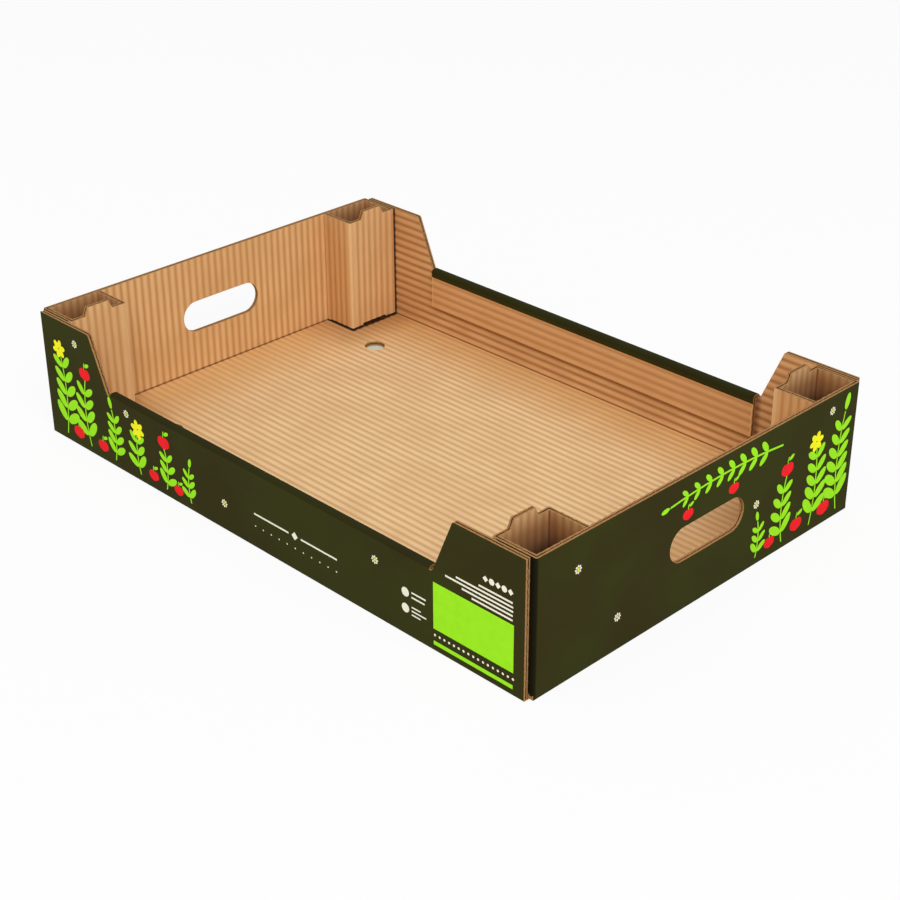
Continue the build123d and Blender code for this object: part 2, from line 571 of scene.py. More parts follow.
    def medium(self, index: int) -> bpy.types.Object:
        """The fluted sheet inside one panel, glued to both liners at its crests.

        Args:
            index: Which panel of the run.

        Returns:
            The sheet as a thin wavy solid.
        """
        way, out = self.ways[index], self.outs[index]
        run = (self.corners[index + 1] - self.corners[index]).length
        flutes, margin = BOARD.flutes(run), BOARD.margin(run)
        inner = BOARD.inner_skin
        room = BOARD.thickness - inner - BOARD.outer_skin
        start = self.corners[index] + way * margin + out * (inner + room / 2 - BOARD.medium / 2)
        far_side = start + way * flutes * BOARD.pitch + out * BOARD.medium
        low_end, high_end = self.axis * (self.span[0] - CLEAR), self.axis * (self.span[1] + CLEAR)
        sheet = Bench.box(f"{self.name}_medium", start + low_end, far_side + high_end)
        with Bench.shaping(sheet):
            self.wave(
                way,
                flutes,
                lambda vert: (vert.co / MM - start).dot(way) / BOARD.row_width,
                lambda row: out * math.cos(2 * math.pi * row / BOARD.rows) * room / 2,
            )
        return Bench.coat(sheet, Finish.CORE)


@dataclass
class Tray:
    """The whole sheet: floor, long walls, rolled edges, ends and posts, with every cut."""

    length: float = 600.0
    width: float = 400.0
    height: float = 120.0
    floor_fold: float = 1.2
    post_fold: float = 1.6
    roll_fold: float = 3.5
    post_gap: float = 1.4
    roll_gap: float = 0.3
    butt_gap: float = 0.4
    low_height: float = 72.0
    corner_length: float = 76.4
    slant_run: float = 21.4
    slant_top_trim: float = 1.65
    slant_foot_radius: float = 3.5
    roll_setback: float = 3.2
    roll_rise: float = 2.7
    strip_depth: float = 40.0
    print_edge: float = 63.7
    post_length: float = 38.7
    post_width: float = 59.5
    post_floor_gap: float = 2.1
    heel_length: float = 5.0
    heel_drop: float = 1.0
    tab_base: float = 29.0
    tab_top: float = 22.0
    tab_height: float = 8.0
    tab_clearance: float = 1.2
    tab_headroom: float = 0.4
    corner_foot: float = 2.8
    hole_length: float = 91.0
    hole_height: float = 31.0
    hole_level: float = 61.0
    vent_diameter: float = 20.0
    vent_inset_x: float = 85.0
    vent_inset_y: float = 74.0
    beyond: float = 6.0
    past_cut: float = 3.0
    rim_groove: float = 1.0
    lip: float = 0.5
    lap: float = 0.06
    round_steps: int = 8
    top_steps: int = 6
    smooth_angle: float = 12.5

    def __post_init__(self) -> None:
        """Works out the faces that several parts of the sheet share."""
        board = BOARD.thickness
        self.end_x = self.length / 2 - board
        self.wall_y = self.width / 2 - board
        self.post_outer_y = self.wall_y - self.post_gap
        self.post_inner_y = self.post_outer_y - self.post_width
        self.post_x = self.end_x - self.post_length
        self.post_bottom = board + self.post_floor_gap
        self.flap_x = self.post_x + board / 2
        self.flap_y = (self.post_inner_y + self.post_outer_y) / 2
        self.free_x = self.end_x - self.butt_gap
        self.slant_top = self.length / 2 - self.corner_length
        self.slant_foot = self.slant_top - self.slant_run
        self.roll_half = self.slant_foot - self.roll_setback
        self.foot_level = self.low_height - self.roll_rise
        self.roll_crease = self.low_height - board
        self.strip_foot = self.low_height - self.strip_depth
        self.core_skin = (BOARD.inner_skin, BOARD.outer_skin)

    def walls_run(self, skin: tuple[float, float] = (0.0, 0.0)) -> FoldedRun:
        """Floor and both long walls, folded from one width of the blank."""
        wall = (Liner(Finish.WALL, True), Liner(Finish.PRINT))
        floor = (Liner(Finish.FLOOR, True), Liner(Finish.UNDERSIDE))
        near = [(-self.wall_y, self.height), (-self.wall_y, BOARD.thickness)]
        far = [(-y, z) for y, z in reversed(near)]
        corners = [Vector((0, y, z)) for y, z in near + far]
        panels, bends = [wall, floor, wall], [Finish.PRINT] * 2
        span = (-self.end_x - self.lap, self.end_x + self.lap)
        return FoldedRun("floor_and_walls", corners, panels, bends, X_AXIS, span, self.floor_fold, skin)

    def roll_run(self, skin: tuple[float, float] = (0.0, 0.0)) -> FoldedRun:
        """Edge rolled over the low wall on the far side, with the strip that hangs inside."""
        strip_y = self.wall_y - self.roll_gap
        plain = (Liner(Finish.UNDERSIDE), Liner(Finish.PRINT))
        strip = (Liner(Finish.UNDERSIDE), Liner(Finish.STRIP, True))
        up = [(self.wall_y, self.roll_crease - CLEAR), (self.wall_y, self.roll_crease)]
        down = [(strip_y, self.roll_crease), (strip_y, self.strip_foot)]
        corners = [Vector((0, y, z)) for y, z in up + down]
        panels, bends = [plain, plain, strip], [Finish.PRINT] * 2
        span = (-self.roll_half, self.roll_half)
        return FoldedRun("rolled_edge", corners, panels, bends, X_AXIS, span, self.roll_fold, skin)

    def end_run(self, skin: tuple[float, float] = (0.0, 0.0)) -> FoldedRun:
        """End panel on the right, with a post's three flaps folded in at each side."""
        well_x = self.post_x + BOARD.thickness
        well_y = self.post_inner_y + BOARD.thickness
        corner_y = self.post_outer_y - BOARD.thickness
        side = (Liner(Finish.POST_SIDE, True), Liner(Finish.POST_SIDE, True))
        face = (Liner(Finish.POST_FACE, True), Liner(Finish.POST_FACE, True))
        hidden = (Liner(Finish.POST_SIDE, True), Liner(Finish.PRINT))
        end = (Liner(Finish.END, True), Liner(Finish.PRINT))
        near = [(self.free_x, -well_y), (well_x, -well_y), (well_x, -corner_y), (self.end_x, -corner_y)]
        far = [(x, -y) for x, y in reversed(near)]
        corners = [Vector((x, y, 0)) for x, y in near + far]
        panels = [side, face, hidden, end, hidden, face, side]
        bends = [Finish.POST_FACE, Finish.POST_FACE, Finish.PRINT]
        bends = bends + bends[::-1]
        span = (self.corner_foot, self.height + self.tab_height)
        return FoldedRun("end_and_posts", corners, panels, bends, Z_AXIS, span, self.post_fold, skin)

    def low_middle(self, inset: float) -> bpy.types.Object:
        """Die for the low middle of both long walls, with slanted sides.

        Args:
            inset: How far the die is grown past the cut line, for the groove behind it.

        Returns:
            The die.
        """
        rise = self.height - self.foot_level
        slope = self.slant_run / rise
        lean = inset * math.hypot(1, slope)
        foot, top = self.foot_level - inset, self.height + self.beyond
        foot_x = self.slant_foot + lean - inset * slope
        top_x = foot_x + (top - foot) * slope
        reach = self.width / 2 + self.beyond
        die = Bench.box("low_middle_die", (-foot_x, -reach, foot), (foot_x, reach, top))
        with Bench.shaping(die):
            Bench.part_sides(X_AXIS, top_x - foot_x, above=top - CLEAR)
            Bench.round_edges(
                lambda edge: all(v.co.z / MM < foot + CLEAR for v in edge.verts)
                and abs(edge.verts[0].co.x - edge.verts[1].co.x) < NEAR * MM,
                self.slant_foot_radius * math.tan(math.atan2(rise, self.slant_run) / 2),
                self.round_steps,
            )
        return Bench.coat(die, Finish.CUT)

    def roll_seat(self) -> bpy.types.Object:
        """Die that ends both low walls inside the rolled edge, so that they run on unbroken."""
        half, reach = self.roll_half - self.roll_gap, self.width / 2 + self.beyond
        low = (-half, -reach, self.roll_crease + self.roll_gap)
        return Bench.coat(Bench.box("roll_seat", low, (half, reach, self.height)), Finish.PRINT)

    def wall_groove(self) -> bpy.types.Object:
        """Die that opens the core along the cut edges of both long walls."""
        run = self.walls_run()
        deep = BOARD.groove
        low_y, high_y = self.wall_y + BOARD.inner_skin, self.width / 2 - BOARD.outer_skin
        reach, top = self.end_x + self.beyond, self.height + self.past_cut
        die = Bench.box("wall_groove", (-reach, low_y, deep), (reach, high_y, top))
        kept_high = (self.end_x - deep, self.width, self.height - deep)
        kept = Bench.box("kept_core", (deep - self.end_x, 0, 0), kept_high)
        kept = Bench.combine(kept, self.low_middle(deep), Join.CUT)
        die = Bench.coat(Bench.combine(die, kept, Join.CUT), Finish.CORE)
        die = Bench.combine(die, run.medium(2), Join.CUT)
        return Bench.both_sides(die, Y_AXIS)

    def vent_die(self, spread: float, low: float, high: float, finish: Finish) -> bpy.types.Object:
        """Die for one round vent, or for the groove in its rim."""
        centre = (self.length / 2 - self.vent_inset_x, self.width / 2 - self.vent_inset_y, 0)
        die = Bench.drum("vent_die", centre, self.vent_diameter / 2 + spread, low, high, Z_AXIS)
        return Bench.coat(die, finish)

    def slot_die(self, spread: float, low: float, high: float, finish: Finish) -> bpy.types.Object:
        """Die for the slot under one post, or for the groove in its rim."""
        half_x = BOARD.thickness / 2 + self.tab_clearance + spread
        half_y = self.tab_base / 2 + self.tab_clearance + spread
        low_corner = (self.flap_x - half_x, self.flap_y - half_y, low)
        high_corner = (self.flap_x + half_x, self.flap_y + half_y, high)
        return Bench.coat(Bench.box("slot_die", low_corner, high_corner), finish)

    def floor_dies(self) -> list[bpy.types.Object]:
        """Dies for the holes in the floor and for the grooves in their rims."""
        through = (-self.beyond, BOARD.thickness + self.beyond)
        within = (BOARD.outer_skin, BOARD.thickness - BOARD.inner_skin)
        deep = self.rim_groove
        # The slots' walls take the dark core finish as painted shade
        holes = [self.vent_die(0, *through, Finish.CUT), self.slot_die(0, *through, Finish.CORE)]
        rim = Bench.combine(self.vent_die(deep, *within, Finish.CORE), self.walls_run().medium(1), Join.CUT)
        rims = [rim, self.slot_die(deep, *within, Finish.CORE)]
        holes = Bench.joined("floor_holes", holes)
        rims = Bench.joined("floor_rims", rims)
        for dies in (holes, rims):
            Bench.both_sides(Bench.both_sides(dies, X_AXIS), Y_AXIS)
        return [holes, rims]

    def floor_and_walls(self) -> bpy.types.Object:
        """Floor and long walls, trimmed and grooved."""
        sheet = self.walls_run().build()
        Bench.combine(sheet, self.low_middle(0), Join.CUT)
        Bench.combine(sheet, self.roll_seat(), Join.CUT)
        with Bench.shaping(sheet):
            Bench.round_edges(
                lambda edge: all(
                    same(abs(v.co.x) / MM, self.slant_top) and same(v.co.z / MM, self.height)
                    for v in edge.verts
                ),
                self.slant_top_trim,
                self.top_steps,
            )
        for die in [self.wall_groove()] + self.floor_dies():
            Bench.combine(sheet, die, Join.CUT)
        return sheet

    def rolled_edge(self) -> bpy.types.Object:
        """Rolled edge and strip on the far side, printed down to a straight line."""
        edge = self.roll_run().build()
        with Bench.shaping(edge):
            bpy.ops.mesh.select_all(action="SELECT")
            bpy.ops.mesh.bisect(plane_co=Z_AXIS * self.print_edge * MM, plane_no=Z_AXIS)
        inner_y = self.wall_y - self.roll_gap - BOARD.thickness
        slots = [slot.material for slot in edge.material_slots]
        for face in edge.data.polygons:
            place = face.center / MM
            on_strip = place.y < inner_y + CLEAR and abs(face.normal.x) < FACING
            if on_strip and place.z > self.print_edge:
                face.material_index = slots.index(Finishes.material(Finish.PRINT))
        reach, inside, foot = self.roll_half + CLEAR, self.roll_half - BOARD.groove, self.strip_foot
        groove = replace(self.roll_run(self.core_skin), span=(-reach, reach)).build()
        kept = Bench.box("kept_core", (-inside, 0, foot + BOARD.groove), (inside, self.width, self.height))
        low = (-reach, inner_y + BOARD.outer_skin, foot - CLEAR)
        high = (reach, inner_y + BOARD.thickness - BOARD.inner_skin, foot + self.lip)
        lip = Bench.coat(Bench.box("strip_foot_groove", low, high), Finish.CORE)
        Bench.combine(groove, kept, Join.CUT)
        Bench.combine(groove, lip, Join.ADD)
        Bench.combine(groove, self.roll_run().medium(2), Join.CUT)
        return Bench.combine(edge, groove, Join.CUT)

    def tab_block(self, inset: float) -> bpy.types.Object:
        """The room that both stacking tabs of one end keep, smaller by an inset at its edges."""
        slope = (self.tab_base - self.tab_top) / 2 / self.tab_height
        lean = inset * math.hypot(1, slope)
        foot = self.height - inset
        top = self.height + self.tab_height - inset
        half_foot = self.tab_base / 2 - lean + inset * slope
        half_top = half_foot - slope * (top - foot)
        if inset == 0:
            top += self.beyond
            half_top -= slope * self.beyond
        low = (self.post_x - CLEAR, self.flap_y - half_foot, foot)
        high = (self.post_x + BOARD.thickness + CLEAR, self.flap_y + half_foot, top)
        block = Bench.box("tab_block", low, high)
        with Bench.shaping(block):
            Bench.part_sides(Y_AXIS, half_top - half_foot, middle=self.flap_y, above=top - CLEAR)
        return Bench.both_sides(block, Y_AXIS)

    def end_top_die(self) -> bpy.types.Object:
        """Die that trims the end and its flaps to height, all but the tabs."""
        top = self.height + self.tab_height + self.beyond - CLEAR
        low = (self.post_x - self.beyond, -self.width / 2 - self.beyond, self.height)
        high = (self.length / 2 + self.beyond, self.width / 2 + self.beyond, top)
        die = Bench.combine(Bench.box("end_top_die", low, high), self.tab_block(0), Join.CUT)
        return Bench.coat(die, Finish.CUT)

    def end_foot_die(self) -> bpy.types.Object:
        """Die that lifts the flaps off the floor, all but their heels."""
        low = (self.post_x - self.beyond, -self.width / 2 - self.beyond, -self.beyond)
        high = (self.end_x, self.width / 2 + self.beyond, self.post_bottom)
        die = Bench.box("end_foot_die", low, high)
        near_y, far_y = self.post_inner_y - CLEAR, self.post_inner_y + BOARD.thickness + CLEAR
        low = (self.free_x - self.heel_length, near_y, self.post_bottom - self.heel_drop)
        high = (self.end_x + CLEAR, far_y, self.post_bottom + self.beyond)
        heels = Bench.both_sides(Bench.box("heels", low, high), Y_AXIS)
        return Bench.coat(Bench.combine(die, heels, Join.CUT), Finish.CUT)

    def recess_die(self) -> bpy.types.Object:
        """Die for the recess under each post that clears the tab of the tray below."""
        half_y, top = self.tab_base / 2 + self.tab_clearance, self.tab_height + self.tab_headroom
        low = (self.post_x - CLEAR, self.flap_y - half_y, 0)
        high = (self.post_x + BOARD.thickness + CLEAR, self.flap_y + half_y, top)
        return Bench.coat(Bench.both_sides(Bench.box("recess_die", low, high), Y_AXIS), Finish.CUT)

    def hole_die(self, spread: float, low: float, high: float, finish: Finish) -> bpy.types.Object:
        """Die for the hand hole, or for the groove in its rim.

        Args:
            spread: How far the die is grown past the cut line.
            low: Where it starts along X.
            high: Where it ends along X.
            finish: What the cut shows.

        Returns:
            The die.
        """
        radius = self.hole_height / 2
        die = Bench.drum("hole_die", (0, 0, self.hole_level), radius + spread, low, high, X_AXIS)
        with Bench.shaping(die):
            Bench.part_sides(Y_AXIS, self.hole_length / 2 - radius)
        return Bench.coat(die, finish)

    def end_grooves(self) -> bpy.types.Object:
        """Die that opens the core along the top of the end, the flaps and the tabs."""
        run = self.end_run()
        span = (self.height - BOARD.groove, self.height + self.tab_height + CLEAR)
        core = replace(self.end_run(self.core_skin), span=span).build()
        groove = Bench.combine(core, self.tab_block(BOARD.groove), Join.CUT)
        for index in range(len(run.panels)):
            if BOARD.flutes(run.length(index)) > 0:
                Bench.combine(groove, run.medium(index), Join.CUT)
        return groove

    def end_and_posts(self) -> bpy.types.Object:
        """End panel and posts on the right, with the fold that carries them."""
        run = self.end_run()
        end = run.build()
        inner, outer = self.end_x, self.length / 2
        hole = self.hole_die(0, inner - self.past_cut, outer + self.past_cut, Finish.CUT)
        rim = self.hole_die(BOARD.groove, inner + BOARD.inner_skin, outer - BOARD.outer_skin, Finish.CORE)
        rim = Bench.combine(rim, run.medium(3), Join.CUT)
        trims = (self.end_top_die(), self.end_foot_die(), self.recess_die())
        for die in (*trims, hole, rim, self.end_grooves()):
            Bench.combine(end, die, Join.CUT)
        return Bench.combine(end, self.end_fold(), Join.ADD)

    def end_fold(self) -> bpy.types.Object:
        """Fold between the floor and the end panel, square at its cut ends."""
        low = (self.end_x - CLEAR, -self.post_outer_y, 0)
        high = (self.length / 2, self.post_outer_y, BOARD.thickness - BOARD.crown - self.lap)
        fold = Bench.box("end_fold", low, high)
        with Bench.shaping(fold):
            Bench.round_edges(
                lambda edge: all(same(v.co.x / MM, high[0]) and same(v.co.z, 0) for v in edge.verts),
                self.floor_fold,
                self.round_steps,
            )
        Bench.coat(fold, Finish.PRINT, Finish.CUT, Finish.UNDERSIDE)
        for face in fold.data.polygons:
            normal = face.normal
            face.material_index = 1 if abs(normal.y) > FACING else 2 if normal.z < -ALIGNED else 0
        return fold

    def build(self) -> bpy.types.Object:
        """The whole tray as one folded sheet."""
        tray = self.floor_and_walls()
        edge = self.rolled_edge()
        end = self.end_and_posts()
        others = [edge, Bench.turned(edge, "rolled_edge_near"), end, Bench.turned(end, "end_left")]
        for other in others:
            Bench.combine(tray, other, Join.ADD)
        tray.name = "tray_board"
        artwork = Artwork(self)
        artwork.print_wall(tray)
        artwork.print_end(tray)
        Bench.hold(tray)
        bpy.ops.object.shade_smooth_by_angle(angle=math.radians(self.smooth_angle))
        return tray


class PrintSide(Enum):
    """Printed faces of the tray, by which way they look."""

    WALL = "near_wall"
    END = "right_end"


@dataclass
class Plate:
    """A printing plate for one ink: flat shapes, pressed a hair's breadth into the board.

    The shapes are laid out with U to the right and V up, as the printed face is seen.
    """

    side: PrintSide
    finish: Finish
    bite: float
    reach: float
    shapes: list[bpy.types.Object] = field(default_factory=list)
    proud: float = 1.0
    leaf_sides: int = 14
    leaf_body: float = 0.86
    leaf_shoulder: float = 0.425
    leaf_tip: float = 0.07
    stem_steps: int = 10

    def bar(self, left: float, right: float, low: float, high: float) -> None:
        """Adds a plain rectangle."""
        self.shapes.append(Bench.box("bar", (left, low, -self.bite), (right, high, self.proud)))

    def round_shape(self, name: str, size: float, sides: int) -> bpy.types.Object:
        """A round shape of one diameter at the origin."""
        return Bench.drum(name, (0, 0, 0), size / 2, -self.bite, self.proud, Z_AXIS, sides)

    def lay(self, shape: bpy.types.Object, u: float, v: float, angle: float = 0.0) -> None:
        """Turns a shape about its origin and lays it in its place on the plate.

        Args:
            shape: The shape, modelled round the origin.
            u: Its place to the right, in millimetres.
            v: Its place upwards.
            angle: How far it is turned to the left, in degrees.
        """
        turn = Matrix.Rotation(math.radians(angle), 4, "Z")
        shape.matrix_world = Matrix.Translation(Vector((u, v, 0)) * MM) @ turn
        self.shapes.append(Bench.settled(shape))

    def dot(self, u: float, v: float, size: float, sides: int = 16) -> None:
        """Adds a round dot of one diameter."""
        self.lay(self.round_shape("dot", size, sides), u, v)

    def leaf(self, u: float, v: float, length: float, width: float, angle: float) -> None:
        """Adds a pointed leaf or petal that grows from a place at an angle."""
        shape = self.round_shape("leaf", length, self.leaf_sides)
        with Bench.shaping(shape):
            bpy.ops.mesh.select_all(action="SELECT")
            squeeze = (self.leaf_body, width / length, 1)
            bpy.ops.transform.resize(value=squeeze, center_override=(0, 0, 0))
            Bench.part_sides(X_AXIS, length * self.leaf_tip, past=length * self.leaf_shoulder)
            bpy.ops.mesh.select_all(action="SELECT")
            Bench.move(X_AXIS * length / 2)
        self.lay(shape, u, v, angle)

    def stem(self, u: float, v: float, length: float, bow: float, angle: float, width: float) -> None:
        """Adds a bowed stem that grows from a place at an angle.

        Args:
            u: Its foot, to the right.
            v: Its foot, upwards.
            length: Straight distance from foot to tip.
            bow: How far its middle stands off that line, to the left.
            angle: Which way the tip lies, in degrees.
            width: Its width.
        """
        low, high = (0, -width / 2, -self.bite), (length, width / 2, self.proud)
        shape = Bench.box("stem", low, high)
        with Bench.shaping(shape):
            Bench.pick(Part.EDGES, lambda edge: abs(edge.verts[0].co.x - edge.verts[1].co.x) > NEAR * MM)
            bpy.ops.mesh.subdivide(number_cuts=self.stem_steps - 1)
            for row in range(1, self.stem_steps):
                share = row / self.stem_steps
                Bench.pick(Part.POINTS, lambda vert: same(vert.co.x / MM, length * share))
                Bench.move(Y_AXIS * 4 * bow * share * (1 - share))
        self.lay(shape, u, v, angle)

    def press(self, board: bpy.types.Object) -> None:
        """Prints all the shapes on a board, and uses them up."""
        first, rest = self.shapes[0], Bench.joined("printing_plate", self.shapes[1:])
        die = Bench.coat(Bench.combine(first, rest, Join.ADD, overlapping=True), self.finish)
        right, out = {PrintSide.WALL: (X_AXIS, -Y_AXIS), PrintSide.END: (Y_AXIS, X_AXIS)}[self.side]
        turn = Matrix((right, Z_AXIS, out)).transposed().to_4x4()
        die.matrix_world = Matrix.Translation(out * self.reach * MM) @ turn
        Bench.combine(board, Bench.settled(die), Join.CUT)


class Crest(Enum):
    """What a sprig bears at its tip."""

    LEAF = "leaf"
    FLOWER = "flower"
    APPLE = "apple"


@dataclass
class Sprig:
    """One plant of the border: a bowed stem with paired leaves, and what it bears at its tip."""

    u: float
    v: float
    height: float
    bow: float
    pairs: int
    leaf: float
    crest: Crest = Crest.LEAF
    angle: float = 90.0
    stem_width: float = 1.4
    first: float = 0.14
    last: float = 0.95
    taper: float = 0.4
    leaf_width: float = 0.38
    splay: float = 46.0
    petals: int = 6

    def at(self, share: float) -> tuple[float, float, float]:
        """Place on the stem and its direction in degrees, at a share of its height."""
        way = Vector((math.cos(math.radians(self.angle)), math.sin(math.radians(self.angle))))
        left = Vector((-way.y, way.x))
        place = Vector((self.u, self.v)) + way * self.height * share
        place += left * 4 * self.bow * share * (1 - share)
        lean = math.degrees(math.atan2(4 * self.bow * (1 - 2 * share), self.height))
        return place.x, place.y, self.angle + lean

    def draw(self, art: "Artwork", plates: dict[Finish, Plate]) -> None:
        """Draws the plant on the plates of its inks."""
        green = plates[Finish.LIME]
        green.stem(self.u, self.v, self.height, self.bow, self.angle, self.stem_width)
        for pair in range(self.pairs):
            share = self.first + (self.last - self.first) * pair / self.pairs
            u, v, angle = self.at(share)
            size = self.leaf * (1 - self.taper * share)
            for side in (-1, 1):
                green.leaf(u, v, size, size * self.leaf_width, angle + side * self.splay)
        u, v, angle = self.at(1.0)
        if self.crest is Crest.FLOWER:
            turn = 360 / self.petals
            for petal in range(self.petals):
                lean = angle + turn * (petal + 0.5)
                plates[Finish.YELLOW].leaf(u, v, art.flower / 2, art.flower * 0.27, lean)
        elif self.crest is Crest.APPLE:
            art.fruit(plates, u, v + art.apple * 0.4, art.apple)
        else:
            green.leaf(u, v, self.leaf * 0.7, self.leaf * 0.27, angle)


@dataclass
class Artwork:
    """Plain printed fields, and a border of sprigs, apples and daisies in the same colours."""

    tray: Tray
    bite: float = 0.06
    step: float = 0.3
    apple: float = 14.0
    flower: float = 20.0
    daisy_size: float = 8.0
    panel: tuple[float, float, float, float] = (203.2, 285.0, 19.8, 60.8)
    rule: tuple[float, float, float, float] = (203.4, 284.6, 5.7, 9.2)
    small_lines: Sequence[tuple[float, float, float, float]] = (
        (250, 283.5, 78.2, 79.8),
        (227, 284, 74.6, 76.2),
        (216, 284, 71.0, 72.6),
        (233, 283.6, 67.4, 69.0),
        (243, 283.6, 63.6, 65.2),
        (180, 195.2, 39.8, 41.2),
        (180, 194.1, 35.6, 37.0),
        (180, 189.7, 27.0, 28.2),
        (180, 195.7, 23.6, 24.8),
        (180, 189.6, 20.2, 21.4),
        (-5, 38, 31.6, 33.2),
        (53, 96, 31.6, 33.2),
    )
    # First place, diameter, sides by turns, number and pitch of each row of dots
    dot_rows: Sequence[tuple[float, float, float, tuple[int, ...], int, float]] = (
        (173.2, 38.4, 8.0, (20,), 1, 0),
        (173.2, 24.2, 8.0, (20,), 1, 0),
        (256.6, 87.1, 5.4, (4, 12), 5, 6.2),
        (204.8, 14.5, 2.2, (12,), 17, 5),
        (45.5, 32.4, 7.5, (4,), 1, 0),
        (-4, 21.0, 1.5, (8,), 11, 9.9),
    )

    def plates(self, side: PrintSide, reach: float) -> dict[Finish, Plate]:
        """One plate for each ink of a side, each biting a little deeper than the one before."""
        inks = (Finish.LIME, Finish.YELLOW, Finish.RED, Finish.WHITE)
        deeper = [1 + self.step * place for place in range(len(inks))]
        return {ink: Plate(side, ink, self.bite * share, reach) for ink, share in zip(inks, deeper)}

    def daisy(self, plates: dict[Finish, Plate], u: float, v: float) -> None:
        """Draws a small white daisy with a yellow eye."""
        size = self.daisy_size
        for turn in range(0, 360, 45):
            across, up = math.cos(math.radians(turn)), math.sin(math.radians(turn))
            start = size * 0.17
            plates[Finish.WHITE].leaf(u + start * across, v + start * up, size * 0.33, size * 0.2, turn)
        plates[Finish.YELLOW].dot(u, v, size * 0.28)

    def fruit(self, plates: dict[Finish, Plate], u: float, v: float, size: float) -> None:
        """Draws a round apple with a dimple at its top, a short stalk and one leaf."""
        red = plates[Finish.RED]
        for side in (-1, 1):
            red.dot(u + side * size * 0.2, v, size * 0.74, 20)
        red.dot(u, v - size * 0.06, size * 0.8, 20)
        plates[Finish.LIME].stem(u, v + size * 0.36, size * 0.42, 0.5, 80, 1.0)
        plates[Finish.LIME].leaf(u + size * 0.04, v + size * 0.52, size * 0.62, size * 0.26, 28)

    def border(
        self,
        plates: dict[Finish, Plate],
        sprigs: Sequence[Sprig],
        apples: Sequence[tuple[float, float, float]],
        daisies: Sequence[tuple[float, float]],
    ) -> None:
        """Draws the border of a side.

        Args:
            plates: The side's plates.
            sprigs: Its plants.
            apples: Place and size of each apple that lies loose.
            daisies: Place of each small daisy.
        """
        for sprig in sprigs:
            sprig.draw(self, plates)
        for apple in apples:
            self.fruit(plates, *apple)
        for place in daisies:
            self.daisy(plates, *place)

    def press(self, plates: dict[Finish, Plate], board: bpy.types.Object) -> None:
        """Presses the plates of a side into the board, ink by ink."""
        for plate in plates.values():
            plate.press(board)

    def print_wall(self, board: bpy.types.Object) -> None:
        """Prints the near wall: the fields on its right, the rows in its middle, the border on its left."""
        plates = self.plates(PrintSide.WALL, self.tray.width / 2)
        lime, white = plates[Finish.LIME], plates[Finish.WHITE]
        for field_edges in (self.panel, self.rule):
            lime.bar(*field_edges)
        for line in self.small_lines:
            white.bar(*line)
        for u, v, size, sides, number, pitch in self.dot_rows:
            for step in range(number):
                white.dot(u + step * pitch, v, size, sides[step % len(sides)])
        sprigs = (
            Sprig(-272, 7, 84, -5, 5, 26, Crest.FLOWER),
            Sprig(-235, 7, 66, 4, 4, 24, Crest.APPLE),
            Sprig(-198, 7, 50, -3, 4, 19),
            Sprig(-161, 7, 44, 3, 3, 20, Crest.FLOWER),
            Sprig(-124, 7, 40, -3, 3, 18, Crest.APPLE),
            Sprig(-90, 7, 34, 2, 3, 15),
        )
        apples = ((-253, 15, 14), (-216, 15, 13), (-142, 14, 12), (-107, 13, 11))
        self.border(plates, sprigs, apples, ((-246, 104), (-176, 61), (-44, 26), (140, 52)))
        self.press(plates, board)

    def print_end(self, board: bpy.types.Object) -> None:
        """Prints the right end: the border on its right, and a lying sprig over the hand hole."""
        plates = self.plates(PrintSide.END, self.tray.length / 2)
        sprigs = (
            Sprig(177, 7, 92, 5, 6, 25),
            Sprig(139, 7, 78, -4, 5, 24, Crest.FLOWER),
            Sprig(101, 7, 62, 4, 4, 22, Crest.APPLE),
            Sprig(66, 7, 34, -2, 3, 15),
            Sprig(92, 100, 140, -4, 8, 16, angle=180, stem_width=1.8),
        )
        apples = ((158, 16, 15), (120, 16, 14), (84, 14, 12), (30, 86, 11), (-26, 86, 11))
        self.border(plates, sprigs, apples, ((-150, 92), (-104, 30), (62, 58), (158, 106)))
        self.press(plates, board)


def maths(operation: str, reflected: bool = False) -> Callable[..., "Socket"]:
    """A method that works on a socket with one Math node.

    Args:
        operation: What the node does.
        reflected: Whether the socket comes after the other value.

    Returns:
        The method.
    """

    def work(socket: "Socket", *others: object) -> "Socket":
        """What the node gives."""
        values = (*others, socket) if reflected else (socket, *others)
        return socket.nodes.node("ShaderNodeMath", {"operation": operation}, dict(enumerate(values)))

    return work


class Socket:
    """A shader value that is worked on with Python's own operators."""

    __add__, __radd__ = maths("ADD"), maths("ADD", True)
    __sub__, __rsub__ = maths("SUBTRACT"), maths("SUBTRACT", True)
    __mul__, __rmul__ = maths("MULTIPLY"), maths("MULTIPLY", True)
    __abs__ = maths("ABSOLUTE")
    larger = maths("MAXIMUM")
    # Remainder between two bounds, the higher first
    wrapped = maths("WRAP")

    def __init__(self, nodes: "Nodes", output: bpy.types.NodeSocket) -> None:
        """Wraps an output of a node."""
        self.nodes = nodes
        self.output = output

    def eased(self, low: float, high: float) -> "Socket":
        """0 below low and 1 above high, with a smooth ramp between."""
        ramp = {0: self, 1: low, 2: high, 3: 0.0, 4: 1.0}
        return self.nodes.node("ShaderNodeMapRange", {"interpolation_type": "SMOOTHSTEP"}, ramp)


def ink(red: int, green: int, blue: int) -> tuple[float, float, float, float]:
    """A colour from its sRGB values, in the scene's linear light."""

    def linear(value: int) -> float:
        """One channel in linear light."""
        share = value / 255
        return share / 12.92 if share <= 0.04045 else ((share + 0.055) / 1.055) ** 2.4

    return linear(red), linear(green), linear(blue), 1.0


@dataclass(frozen=True)
class PaintedLight:
    """Painted shade or a painted highlight: a place on the board that is darker or paler than the rest.

    It lies past a start on some axes, each given with where the mark is full. X and Y
    count both ways from the middle of the tray.
    """

    past: Sequence[tuple[str, float, float]]
    tint: tuple[int, int, int]
    share: float


